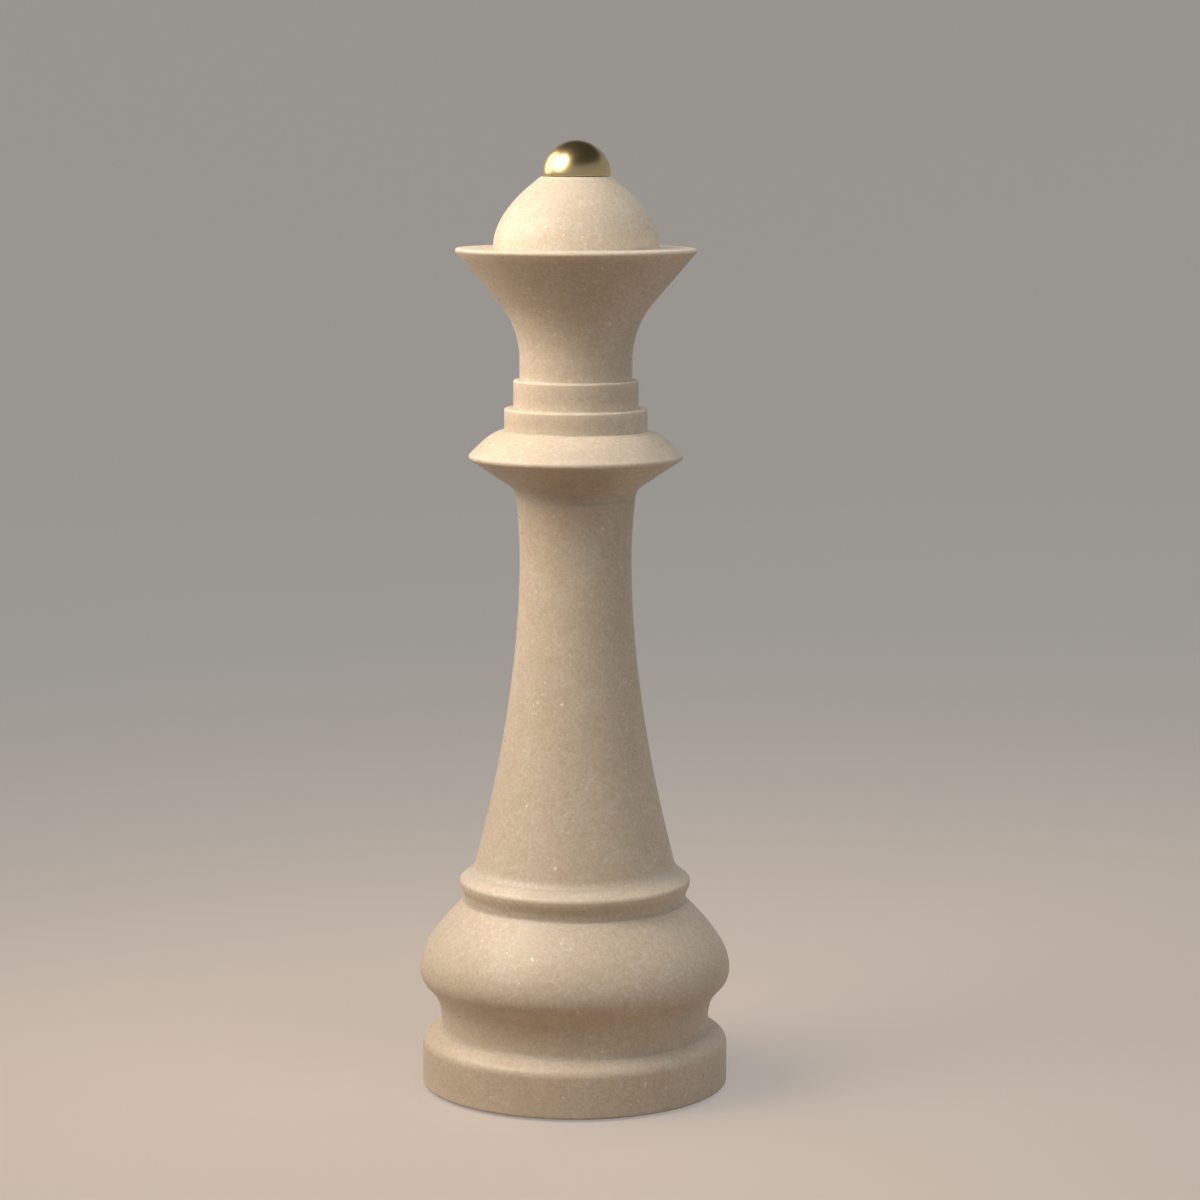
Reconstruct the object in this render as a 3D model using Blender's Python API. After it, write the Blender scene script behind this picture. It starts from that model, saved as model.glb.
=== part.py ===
"""Decorative chess queen: turned stone sections clamped on a rod, with a brass knob screwed on top.

The queen stands on Z = 0 with its axis on Z. Each piece is modelled from its own underside and
placed by its location. Lengths are in metres and angles in degrees, unless a name says otherwise.
"""

import math

import bmesh
import bpy

# ---- Clearance and turning -------------------------------------------------------------------
GAP = 0.0003  # air between two pieces that touch, or between a shaft and its hole
SIDES = 32  # facets round a turned section
SMALL_SIDES = 24  # facets round a small fitting
SMOOTH_ANGLE = math.radians(30)

# ---- Stone sections: each height reaches from a section's underside to the next one's --------
PLINTH_HEIGHT = 0.0239
BULB_HEIGHT = 0.0558
LOWER_COLLAR_HEIGHT = 0.0136
STEM_HEIGHT = 0.1571
UPPER_COLLAR_HEIGHT = 0.0286
LOWER_RING_HEIGHT = 0.0093
UPPER_RING_HEIGHT = 0.0119
CUP_HEIGHT = 0.0548
DOME_HEIGHT = 0.0294

PLINTH_RADIUS = 0.0650
WAIST_RADIUS = 0.0566
BULB_RADIUS = 0.0660
BULB_TOP_RADIUS = 0.0468
LOWER_COLLAR_RADIUS = 0.0490
STEM_FOOT_RADIUS = 0.0428
STEM_NARROW_RADIUS = 0.0235
STEM_TOP_RADIUS = 0.0251
UPPER_COLLAR_RADIUS = 0.0449
LOWER_RING_RADIUS = 0.0300
UPPER_RING_RADIUS = 0.0262
NECK_RADIUS = 0.0236
CUP_RADIUS = 0.0504
DOME_RADIUS = 0.0346
SEAT_RADIUS = 0.0147

# ---- Shape of each section's side ------------------------------------------------------------
PLINTH_SHOULDER_DROP = 0.0069
PLINTH_FOOT_ROUND = 0.0013
BULB_WIDEST_HEIGHT = 0.0257
BULB_TURN_DROP = 0.0080  # from the widest place down to where the cove begins
BULB_TURN_INSET = 0.0037
COLLAR_LEDGE = 0.0002  # step between a collar and the narrower piece on or under it
LOWER_COLLAR_WIDEST_HEIGHT = 0.0073
LOWER_COLLAR_ROUND = 0.0020
LOWER_COLLAR_ROUND_TOP = 55
STEM_NARROW_DROP = 0.0255  # from the stem's top down to its narrowest place
STEM_FOOT_POWER = 1.84
STEM_TOP_POWER = 1.8
UPPER_COLLAR_WIDEST_HEIGHT = 0.0173
UPPER_COLLAR_ROUND = 0.0015
UPPER_COLLAR_ROUND_TOP = 45
UPPER_COLLAR_ROUND_BOTTOM = -57
UPPER_COLLAR_FOOT_HEIGHT = 0.0055
UPPER_COLLAR_FOOT_SWELL = 0.0034
RING_EDGE_ROUND = 0.0008
CUP_RIM_ROUND = 0.0011
CUP_RIM_UNDERCUT = -38
CUP_NECK_HEIGHT = 0.0080
CUP_FLARE_RADIUS = 0.0369
CUP_FLARE_TURN = 40

# Bows: the two handles of a smooth stretch, each as shares of its way across and its way down.
PLINTH_SHOULDER_BOW = ((0.70, 0.30), (1.00, 0.48))
BULB_CROWN_BOW = ((0.55, 0.365), (1.00, 0.685))
BULB_UNDER_BOW = ((0.00, 0.40), (0.30, 0.675))
BULB_COVE_BOW = ((0.70, 0.225), (0.91, 0.42))
LOWER_COLLAR_UNDER_BOW = ((0.05, 0.38), (1.00, 0.59))
UPPER_COLLAR_CROWN_BOW = ((0.39, 0.04), (0.72, 0.60))
UPPER_COLLAR_FOOT_BOW = ((0.59, 0.24), (0.91, 0.45))
DOME_BOW = ((0.54, 0.27), (1.00, 0.625))

# ---- Clamping rod, nuts and washers ----------------------------------------------------------
ROD_RADIUS = 0.0040
ROD_CHAMFER = 0.0008
NUT_ACROSS_FLATS = 0.0130
NUT_HEIGHT = 0.0065
NUT_CHAMFER = 30
NUT_BLANK_SHARE = 1.2  # the turned blank stands outside the bar's corners
NUT_BAR_HEIGHTS = 4  # the bar, centred on the nut's underside, runs past both of its ends
NUT_PROUD = 0.0012  # how far the rod comes through the lower nut
SPRING_WASHER_RADIUS = 0.0074
SPRING_WASHER_THICKNESS = 0.0020
SPRING_WASHER_RISE = 0.0005
SPRING_WASHER_SLIT = 14
BOTTOM_WASHER_RADIUS = 0.0120
BOTTOM_WASHER_THICKNESS = 0.0020
TOP_WASHER_RADIUS = 0.0083
TOP_WASHER_THICKNESS = 0.0016

# ---- Bore, registers and hollows in the stone ------------------------------------------------
BORE_CLEARANCE = 0.0010
WASHER_CLEARANCE = 0.0010
SPIGOT_RADIUS = 0.0140
SPIGOT_HEIGHT = 0.0030
POCKET_DEPTH = 0.0122
FELT_INSET = 0.0050  # from the plinth's side in to the pad's edge
FELT_THICKNESS = 0.0020
FELT_PROUD = 0.0008  # how far the pad stands below the plinth
ROD_END_CLEARANCE = 0.0006  # from the pad up to the rod

# ---- Knob ------------------------------------------------------------------------------------
KNOB_RADIUS = 0.01425
KNOB_CENTRE_HEIGHT = 0.00055
KNOB_HOLE_DEPTH = 0.0100
KNOB_RIM_WIDTH = 0.00215
KNOB_WASHER_THICKNESS = 0.0008

# ---- Sizes and levels that follow ------------------------------------------------------------
FELT_RADIUS = PLINTH_RADIUS - FELT_INSET
ROD_HOLE_RADIUS = ROD_RADIUS + GAP
BORE_RADIUS = ROD_RADIUS + BORE_CLEARANCE
COUNTERBORE_RADIUS = BOTTOM_WASHER_RADIUS + WASHER_CLEARANCE
POCKET_RADIUS = TOP_WASHER_RADIUS + WASHER_CLEARANCE
KNOB_WASHER_RADIUS = KNOB_RADIUS - KNOB_RIM_WIDTH - GAP

PLINTH_Z = FELT_PROUD
BULB_Z = PLINTH_Z + PLINTH_HEIGHT
LOWER_COLLAR_Z = BULB_Z + BULB_HEIGHT
STEM_Z = LOWER_COLLAR_Z + LOWER_COLLAR_HEIGHT
UPPER_COLLAR_Z = STEM_Z + STEM_HEIGHT
LOWER_RING_Z = UPPER_COLLAR_Z + UPPER_COLLAR_HEIGHT
UPPER_RING_Z = LOWER_RING_Z + LOWER_RING_HEIGHT
CUP_Z = UPPER_RING_Z + UPPER_RING_HEIGHT
DOME_Z = CUP_Z + CUP_HEIGHT
SEAT_Z = DOME_Z + DOME_HEIGHT

ROD_BOTTOM_Z = FELT_THICKNESS + ROD_END_CLEARANCE
BOTTOM_NUT_Z = ROD_BOTTOM_Z + NUT_PROUD
SPRING_WASHER_Z = BOTTOM_NUT_Z + NUT_HEIGHT + GAP
BOTTOM_WASHER_Z = SPRING_WASHER_Z + SPRING_WASHER_THICKNESS + SPRING_WASHER_RISE + GAP
COUNTERBORE_TOP_Z = BOTTOM_WASHER_Z + BOTTOM_WASHER_THICKNESS + GAP
TOP_WASHER_Z = SEAT_Z - POCKET_DEPTH
TOP_NUT_Z = TOP_WASHER_Z + TOP_WASHER_THICKNESS + GAP
ROD_TOP_Z = SEAT_Z + KNOB_HOLE_DEPTH - GAP


# ---- Outlines, as (radius, height) points ----------------------------------------------------
def arc(centre, radius, start, end, steps):
    """Points on a round stretch, with each angle counted from straight outwards."""
    points = []
    for step in range(steps + 1):
        angle = math.radians(start + (end - start) * step / steps)
        points.append((centre[0] + radius * math.cos(angle), centre[1] + radius * math.sin(angle)))
    return points


def sweep(start, end, bow, steps):
    """Points on a smooth stretch between two points, shaped by a bow."""
    handles = [[a + (b - a) * share for a, b, share in zip(start, end, shares)] for shares in bow]
    corners = (start, *handles, end)
    points = []
    for step in range(steps + 1):
        t = step / steps
        weights = ((1 - t) ** 3, 3 * t * (1 - t) ** 2, 3 * t**2 * (1 - t), t**3)
        points.append(tuple(sum(w * c[i] for w, c in zip(weights, corners)) for i in range(2)))
    return points


def section(side, height, foot=None, pocket=None):
    """Closed outline of a stone section: its side from the top down, then its inside going up.

    Underneath, a section has a socket, or the steps given as foot. On top it has a spigot, or
    the pocket given as a radius and a depth.
    """
    top = height - GAP
    socket = SPIGOT_RADIUS + GAP
    outline = list(side)
    outline += foot or [(socket, 0), (socket, SPIGOT_HEIGHT), (BORE_RADIUS, SPIGOT_HEIGHT)]
    if pocket:
        radius, depth = pocket
        outline += [(BORE_RADIUS, top - depth), (radius, top - depth), (radius, top)]
    else:
        raised = top + SPIGOT_HEIGHT
        outline += [(BORE_RADIUS, raised), (SPIGOT_RADIUS, raised), (SPIGOT_RADIUS, top)]
    return outline


def plinth_side():
    top = PLINTH_HEIGHT - GAP
    edge = (PLINTH_RADIUS, top - PLINTH_SHOULDER_DROP)
    side = sweep((WAIST_RADIUS, top), edge, PLINTH_SHOULDER_BOW, 6)
    foot = (PLINTH_RADIUS - PLINTH_FOOT_ROUND, PLINTH_FOOT_ROUND)
    return side + arc(foot, PLINTH_FOOT_ROUND, 0, -90, 3)


def plinth_foot():
    """Felt recess and counterbore, stepping inwards from the plinth's underside."""
    recess_radius = FELT_RADIUS + GAP
    recess_top = FELT_THICKNESS + GAP - PLINTH_Z
    counterbore_top = COUNTERBORE_TOP_Z - PLINTH_Z
    return [
        (recess_radius, 0),
        (recess_radius, recess_top),
        (COUNTERBORE_RADIUS, recess_top),
        (COUNTERBORE_RADIUS, counterbore_top),
        (BORE_RADIUS, counterbore_top),
    ]


def bulb_side():
    widest = (BULB_RADIUS, BULB_WIDEST_HEIGHT)
    turn = (BULB_RADIUS - BULB_TURN_INSET, BULB_WIDEST_HEIGHT - BULB_TURN_DROP)
    side = sweep((BULB_TOP_RADIUS, BULB_HEIGHT - GAP), widest, BULB_CROWN_BOW, 9)
    side += sweep(widest, turn, BULB_UNDER_BOW, 4)[1:]
    side += sweep(turn, (WAIST_RADIUS, 0), BULB_COVE_BOW, 5)[1:]
    return side


def lower_collar_side():
    centre = (LOWER_COLLAR_RADIUS - LOWER_COLLAR_ROUND, LOWER_COLLAR_WIDEST_HEIGHT)
    widest = (LOWER_COLLAR_RADIUS, LOWER_COLLAR_WIDEST_HEIGHT)
    side = [(STEM_FOOT_RADIUS - COLLAR_LEDGE, LOWER_COLLAR_HEIGHT - GAP)]
    side += arc(centre, LOWER_COLLAR_ROUND, LOWER_COLLAR_ROUND_TOP, 0, 4)
    side += sweep(widest, (BULB_TOP_RADIUS + COLLAR_LEDGE, 0), LOWER_COLLAR_UNDER_BOW, 4)[1:]
    return side


def stem_radius(height):
    """The stem swells to its foot and, a little, to its top."""
    narrow = STEM_HEIGHT - STEM_NARROW_DROP
    if height < narrow:
        swell = STEM_FOOT_RADIUS - STEM_NARROW_RADIUS
        return STEM_NARROW_RADIUS + swell * ((narrow - height) / narrow) ** STEM_FOOT_POWER
    swell = STEM_TOP_RADIUS - STEM_NARROW_RADIUS
    return STEM_NARROW_RADIUS + swell * ((height - narrow) / STEM_NARROW_DROP) ** STEM_TOP_POWER


def stem_side():
    top = STEM_HEIGHT - GAP
    steps = 14
    heights = [top * (1 - step / steps) for step in range(steps + 1)]
    return [(stem_radius(height), height) for height in heights]


def upper_collar_side():
    centre = (UPPER_COLLAR_RADIUS - UPPER_COLLAR_ROUND, UPPER_COLLAR_WIDEST_HEIGHT)
    tip = arc(centre, UPPER_COLLAR_ROUND, UPPER_COLLAR_ROUND_TOP, UPPER_COLLAR_ROUND_BOTTOM, 4)
    crown = (LOWER_RING_RADIUS + COLLAR_LEDGE, UPPER_COLLAR_HEIGHT - GAP)
    foot = (STEM_TOP_RADIUS + UPPER_COLLAR_FOOT_SWELL, UPPER_COLLAR_FOOT_HEIGHT)
    side = sweep(crown, tip[0], UPPER_COLLAR_CROWN_BOW, 6)
    side += tip[1:]
    side += sweep(foot, (STEM_TOP_RADIUS, 0), UPPER_COLLAR_FOOT_BOW, 4)
    return side


def ring_side(radius, height):
    centre = (radius - RING_EDGE_ROUND, height - GAP - RING_EDGE_ROUND)
    return arc(centre, RING_EDGE_ROUND, 90, 0, 3) + [(radius, 0)]


def cup_side():
    rim = (CUP_RADIUS - CUP_RIM_ROUND, CUP_HEIGHT - GAP - CUP_RIM_ROUND)
    flare = (NECK_RADIUS + CUP_FLARE_RADIUS, CUP_NECK_HEIGHT)
    side = arc(rim, CUP_RIM_ROUND, 90, CUP_RIM_UNDERCUT, 4)
    side += arc(flare, CUP_FLARE_RADIUS, 180 - CUP_FLARE_TURN, 180, 7)
    side.append((NECK_RADIUS, 0))
    return side


def dome_side():
    return sweep((SEAT_RADIUS, DOME_HEIGHT - GAP), (DOME_RADIUS, 0), DOME_BOW, 10)


def knob_outline():
    """The knob from its crown down, in under its rim, and up its blind hole to the axis."""
    seat = -math.degrees(math.asin(KNOB_CENTRE_HEIGHT / KNOB_RADIUS))
    recess_radius = KNOB_WASHER_RADIUS + GAP
    recess_top = KNOB_WASHER_THICKNESS + GAP
    outline = [(0, KNOB_CENTRE_HEIGHT + KNOB_RADIUS)]
    outline += arc((0, KNOB_CENTRE_HEIGHT), KNOB_RADIUS, 90, seat, 10)[1:]
    outline += [(recess_radius, 0), (recess_radius, recess_top), (ROD_HOLE_RADIUS, recess_top)]
    outline += [(ROD_HOLE_RADIUS, KNOB_HOLE_DEPTH), (0, KNOB_HOLE_DEPTH)]
    return outline


def rod_outline():
    length = ROD_TOP_Z - ROD_BOTTOM_Z
    end_radius = ROD_RADIUS - ROD_CHAMFER
    shoulder = length - ROD_CHAMFER
    side = [(end_radius, length), (ROD_RADIUS, shoulder), (ROD_RADIUS, ROD_CHAMFER), (end_radius, 0)]
    return [(0, length), *side, (0, 0)]


def washer_outline(radius, thickness):
    return [(radius, thickness), (radius, 0), (ROD_HOLE_RADIUS, 0), (ROD_HOLE_RADIUS, thickness)]


# ---- Building tools --------------------------------------------------------------------------
def material(name, colour, roughness, metallic=0.0):
    made = bpy.data.materials.new(name)
    made.use_nodes = True
    surface = made.node_tree.nodes["Principled BSDF"]
    surface.inputs["Base Color"].default_value = (*colour, 1.0)
    surface.inputs["Roughness"].default_value = roughness
    surface.inputs["Metallic"].default_value = metallic
    return made


def added(name, bm, level, surface=None):
    """The bmesh as a named object whose underside stands at the level."""
    bmesh.ops.recalc_face_normals(bm, faces=bm.faces[:])
    mesh = bpy.data.meshes.new(name)
    bm.to_mesh(mesh)
    bm.free()
    mesh.shade_smooth()
    mesh.set_sharp_from_angle(angle=SMOOTH_ANGLE)
    if surface:
        mesh.materials.append(surface)
    obj = bpy.data.objects.new(name, mesh)
    obj.location.z = level
    bpy.context.collection.objects.link(obj)
    return obj


def turned(name, outline, level, surface=None, sides=SIDES):
    """A piece turned about Z. An outline that starts on the axis also ends there, and isn't closed."""
    bm = bmesh.new()
    points = [bm.verts.new((radius, 0, height)) for radius, height in outline]
    lines = [bm.edges.new(pair) for pair in zip(points, points[1:])]
    if outline[0][0] > 0:
        lines.append(bm.edges.new((points[-1], points[0])))
    bmesh.ops.spin(
        bm,
        geom=points + lines,
        cent=(0, 0, 0),
        axis=(0, 0, 1),
        angle=math.tau,
        steps=sides,
        use_merge=True,
    )
    bmesh.ops.remove_doubles(bm, verts=bm.verts[:], dist=1e-7)
    return added(name, bm, level, surface)


def hex_nut(name, level, surface):
    """A six-sided bar cut to a nut by a turned blank, which has the chamfers and the hole."""
    corner_radius = NUT_ACROSS_FLATS / math.sqrt(3)
    flat_radius = NUT_ACROSS_FLATS / 2
    blank_radius = corner_radius * NUT_BLANK_SHARE
    chamfer_drop = (blank_radius - flat_radius) * math.tan(math.radians(NUT_CHAMFER))
    bm = bmesh.new()
    bar_length = NUT_HEIGHT * NUT_BAR_HEIGHTS
    bmesh.ops.create_cone(
        bm, cap_ends=True, segments=6, radius1=corner_radius, radius2=corner_radius, depth=bar_length
    )
    nut = added(name, bm, level, surface)
    blank_outline = [
        (flat_radius, NUT_HEIGHT),
        (blank_radius, NUT_HEIGHT - chamfer_drop),
        (blank_radius, chamfer_drop),
        (flat_radius, 0),
        (ROD_HOLE_RADIUS, 0),
        (ROD_HOLE_RADIUS, NUT_HEIGHT),
    ]
    blank = turned(name + "_blank", blank_outline, level, sides=SMALL_SIDES)
    blank.hide_render = True
    blank.display_type = "WIRE"
    trim = nut.modifiers.new("trim to blank", "BOOLEAN")
    trim.operation = "INTERSECT"
    trim.object = blank
    return nut


def split_ring(name, level, surface):
    """A spring washer: less than one turn of a square bar, whose free end stands a little higher."""
    inner, outer = ROD_HOLE_RADIUS, SPRING_WASHER_RADIUS
    top = SPRING_WASHER_THICKNESS
    bm = bmesh.new()
    bar = ((inner, 0), (outer, 0), (outer, top), (inner, top))
    corners = [bm.verts.new((radius, 0, height)) for radius, height in bar]
    bmesh.ops.spin(
        bm,
        geom=[bm.faces.new(corners)],
        cent=(0, 0, 0),
        axis=(0, 0, 1),
        dvec=(0, 0, SPRING_WASHER_RISE / SMALL_SIDES),
        angle=math.radians(360 - SPRING_WASHER_SLIT),
        steps=SMALL_SIDES,
    )
    return added(name, bm, level, surface)


# ---- The pieces ------------------------------------------------------------------------------
def make_stone(marble):
    dome_pocket = (POCKET_RADIUS, POCKET_DEPTH)
    lower_ring = ring_side(LOWER_RING_RADIUS, LOWER_RING_HEIGHT)
    upper_ring = ring_side(UPPER_RING_RADIUS, UPPER_RING_HEIGHT)
    turned("base_plinth", section(plinth_side(), PLINTH_HEIGHT, foot=plinth_foot()), PLINTH_Z, marble)
    turned("base_bulb", section(bulb_side(), BULB_HEIGHT), BULB_Z, marble)
    turned("lower_collar", section(lower_collar_side(), LOWER_COLLAR_HEIGHT), LOWER_COLLAR_Z, marble)
    turned("stem", section(stem_side(), STEM_HEIGHT), STEM_Z, marble)
    turned("upper_collar", section(upper_collar_side(), UPPER_COLLAR_HEIGHT), UPPER_COLLAR_Z, marble)
    turned("neck_ring_lower", section(lower_ring, LOWER_RING_HEIGHT), LOWER_RING_Z, marble)
    turned("neck_ring_upper", section(upper_ring, UPPER_RING_HEIGHT), UPPER_RING_Z, marble)
    turned("crown_cup", section(cup_side(), CUP_HEIGHT), CUP_Z, marble)
    turned("crown_dome", section(dome_side(), DOME_HEIGHT, pocket=dome_pocket), DOME_Z, marble)


def make_felt_pad(felt):
    pad = [(0, FELT_THICKNESS), (FELT_RADIUS, FELT_THICKNESS), (FELT_RADIUS, 0), (0, 0)]
    turned("felt_pad", pad, 0, felt)


def make_clamp(steel):
    bottom_washer = washer_outline(BOTTOM_WASHER_RADIUS, BOTTOM_WASHER_THICKNESS)
    top_washer = washer_outline(TOP_WASHER_RADIUS, TOP_WASHER_THICKNESS)
    turned("tie_rod", rod_outline(), ROD_BOTTOM_Z, steel, SMALL_SIDES)
    hex_nut("bottom_nut", BOTTOM_NUT_Z, steel)
    split_ring("spring_washer", SPRING_WASHER_Z, steel)
    turned("bottom_washer", bottom_washer, BOTTOM_WASHER_Z, steel, SMALL_SIDES)
    turned("top_washer", top_washer, TOP_WASHER_Z, steel, SMALL_SIDES)
    hex_nut("top_nut", TOP_NUT_Z, steel)


def make_knob(brass, nylon):
    """The knob and its washer hang from an empty on the screw's axis, at the level of the seat."""
    screw_axis = bpy.data.objects.new("knob_screw_axis", None)
    screw_axis.location.z = SEAT_Z
    bpy.context.collection.objects.link(screw_axis)
    washer = washer_outline(KNOB_WASHER_RADIUS, KNOB_WASHER_THICKNESS)
    turned("knob_washer", washer, 0, nylon, SMALL_SIDES).parent = screw_axis
    turned("finial_knob", knob_outline(), 0, brass).parent = screw_axis


def main():
    for obj in list(bpy.data.objects):
        bpy.data.objects.remove(obj)
    make_stone(material("cream_marble", (0.73, 0.63, 0.49), 0.38))
    make_felt_pad(material("brown_felt", (0.10, 0.07, 0.05), 0.95))
    make_clamp(material("zinc_steel", (0.52, 0.53, 0.55), 0.35, 1.0))
    brass = material("satin_brass", (0.72, 0.58, 0.34), 0.28, 1.0)
    make_knob(brass, material("nylon", (0.78, 0.77, 0.72), 0.5))


main()
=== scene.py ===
"""Fine surfaces and finishes for a turned marble chess queen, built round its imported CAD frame."""

import math

import bmesh
import bpy
import numpy as np
from mathutils import Matrix, Vector, noise


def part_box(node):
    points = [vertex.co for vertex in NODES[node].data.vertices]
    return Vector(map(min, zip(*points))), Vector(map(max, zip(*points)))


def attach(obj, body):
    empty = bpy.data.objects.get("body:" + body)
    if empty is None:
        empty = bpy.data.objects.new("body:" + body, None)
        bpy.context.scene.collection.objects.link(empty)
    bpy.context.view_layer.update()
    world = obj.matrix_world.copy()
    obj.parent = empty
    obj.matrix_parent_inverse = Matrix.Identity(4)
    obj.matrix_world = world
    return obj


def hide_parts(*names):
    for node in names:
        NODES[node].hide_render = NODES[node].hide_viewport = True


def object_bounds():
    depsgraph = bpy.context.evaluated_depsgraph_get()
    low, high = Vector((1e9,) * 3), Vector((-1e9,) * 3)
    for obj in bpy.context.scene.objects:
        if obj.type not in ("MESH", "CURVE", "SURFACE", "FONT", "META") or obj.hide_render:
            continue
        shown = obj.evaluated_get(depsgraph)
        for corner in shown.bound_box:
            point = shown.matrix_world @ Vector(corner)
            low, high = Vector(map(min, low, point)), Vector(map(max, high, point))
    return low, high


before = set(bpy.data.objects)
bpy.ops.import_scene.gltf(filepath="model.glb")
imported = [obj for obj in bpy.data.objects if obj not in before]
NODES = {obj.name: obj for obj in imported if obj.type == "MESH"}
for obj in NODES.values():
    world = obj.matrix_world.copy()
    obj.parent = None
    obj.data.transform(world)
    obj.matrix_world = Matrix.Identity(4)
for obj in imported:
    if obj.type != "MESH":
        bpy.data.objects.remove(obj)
CAD_BOX = [list(corner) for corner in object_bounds()]
HEIGHT = CAD_BOX[1][2]

bl_info = {
    "name": "Marble Chess Queen",
    "version": (1, 0, 0),
    "blender": (4, 5, 0),
    "location": "3D View > Sidebar > Chess Queen",
    "description": "Turned marble sections, a brass knob and the rod that clamps them",
    "category": "Add Mesh",
}

STONES = (
    "base_plinth",
    "base_bulb",
    "lower_collar",
    "stem",
    "upper_collar",
    "neck_ring_lower",
    "neck_ring_upper",
    "crown_cup",
    "crown_dome",
)
STONE_BODY = "queen"
KNOB_BODY = "knob"
KNOB_SEAT_BODY = "knob_seat"

EDGE_WEAR_AND_GLOW = "worn_edge"
BLOCK = "stone_block"
THREAD = "thread_depth"

# How far each section's foot sweeps out onto the one below it.
COVES = {
    "base_bulb": 0.0022,
    "lower_collar": 0.0009,
    "stem": 0.0024,
    "neck_ring_lower": 0.0007,
    "neck_ring_upper": 0.0007,
    "crown_cup": 0.0006,
    "crown_dome": 0.0007,
}
COVE_STEPS = 6
COVE_TAIL = 1.1  # the buried tip's reach and depth, as shares of the cove's reach
COVE_SINK = 0.5
SPIGOT_CLEAR = 0.0145  # a radius just outside every spigot

SHARP_TURN = math.radians(34)  # an outline that turns more than this has a corner
WIDEST_FILLET_TURN = math.radians(100)
FINE_TURN = math.radians(5)
FLAT_BEND = math.radians(0.2)
CURVE_STEP = 0.0015
PLAIN_STEP = 0.006
STRAIGHT_RATIO = 1.9  # a neighbour this much longer is a straight run that the curve leaves
FILLET_STEPS = 5
FILLET_ROOM = 0.45
WELD = 2e-6
ONE_POINT = 5 * WELD  # outline points nearer to each other than this are one
PLANE_TOLERANCE = 1e-6
CREASE = math.radians(38)
SMALL_SIDES = 96
KNOB_SIDES = 128
FELT_SIDES = 160
ROD_SIDES = 48

TIGHT_CURVE = 300.0  # radians per metre, from which an edge's mask starts (painted glow and highlight on the stone, wear on the metal) and at which it is full
FULL_CURVE = 900.0
EDGE_WEAR_AND_GLOW_REACH = 0.0018

KNOB_EASE = 0.0003
WASHER_EASE = 0.0002
NYLON_EASE = 0.00015
SPRING_EASE = 0.00015
SPRING_SLIT = math.radians(14)
NUT_LEAD = 0.0004
NUT_CLEARANCE = 0.0001
NUT_CIRCLE = 0.95  # the chamfer's flat circle, as a share of the distance from axis to flat
NUT_CHAMFER = math.radians(30)
THREAD_STEPS = 8  # rows in one turn of the thread
THREAD_CREST = 0.12  # where the flank starts and ends, as shares of half a pitch
THREAD_ROOT = 0.88
RUN_OUT_TURNS = 3
FELT_EDGE = 0.0006
FRAY_DEPTH = 0.0004
FRAY_SCALE = 900.0
FRAY_FROM = 0.9

GLINT_METALLIC = 0.16

FLOOR_ROWS = (0.0, 0.6, 1.3)
FLOOR_RADIUS = 3.0
FLOOR_BEND = 0.9
WALL_TOP = 2.2
FLOOR_SIDES = 96
FLOOR_ROUGHNESS = 0.85
FLOOR_CLOUDS = 3.0
FLOOR_PALER = 1.03
GLOW_COLOUR = (1.0, 0.965, 0.92, 1.0)
SKY_COLOUR = (1.0, 0.95, 0.88, 1.0)
SENSOR_WIDTH = 36.0  # millimetres
CLIP_START, CLIP_END = 0.05, 20.0
LIGHT_SPAN = 0.8  # a light's width as a share of its distance
LIGHT_SPREAD = math.radians(110)
LIGHT_AIM = 0.75  # the height that the lights are aimed at, as a share of the piece's


# ---------------------------------------------------------------- outlines


def outline_of(node):
    """A turned CAD node's outline as (radius, height) points in order, and whether it closes on itself."""
    mesh = NODES[node].data
    points = np.array([v.co for v in mesh.vertices], float)
    keys = [tuple(np.round(p * 1e6).astype(int)) for p in points]
    in_plane = [abs(p[1]) < PLANE_TOLERANCE and p[0] > -PLANE_TOLERANCE for p in points]
    where = {}
    links = {}
    for polygon in mesh.polygons:
        corners = list(polygon.vertices)
        for a, b in zip(corners, corners[1:] + corners[:1]):
            if in_plane[a] and in_plane[b] and keys[a] != keys[b]:
                where[keys[a]] = points[a]
                where[keys[b]] = points[b]
                links.setdefault(keys[a], set()).add(keys[b])
                links.setdefault(keys[b], set()).add(keys[a])
    ends = sorted(k for k, near in links.items() if len(near) == 1)
    start = ends[0] if ends else min(links, key=lambda k: (k[2], k[0]))
    order = [start]
    while True:
        onward = [k for k in sorted(links[order[-1]]) if k not in order]
        if not onward:
            break
        order.append(onward[0])
    if len(order) != len(links):
        raise RuntimeError(f"the outline of {node} isn't one line")
    return [(max(0.0, float(where[k][0])), float(where[k][2])) for k in order], not ends


def to_the_axis(points):
    """An open outline closed down to the axis at both ends, so that it turns into a solid with poles."""
    first, last = points[0], points[-1]
    head = [] if first[0] < PLANE_TOLERANCE else [(0.0, first[1])]
    tail = [] if last[0] < PLANE_TOLERANCE else [(0.0, last[1])]
    return head + points + tail


def turn_at(a, b, c):
    """The signed angle by which the line turns at b, positive to the left."""
    u = (b[0] - a[0], b[1] - a[1])
    v = (c[0] - b[0], c[1] - b[1])
    return math.atan2(u[0] * v[1] - u[1] * v[0], u[0] * v[0] + u[1] * v[1])


def unit(a, b):
    """The direction from a to b."""
    length = math.dist(a, b)
    return ((b[0] - a[0]) / length, (b[1] - a[1]) / length)


def anticlockwise(points):
    """A closed outline with its material on the left."""
    area = sum(a[0] * b[1] - b[0] * a[1] for a, b in zip(points, points[1:] + points[:1]))
    return points if area > 0 else points[::-1]


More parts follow.
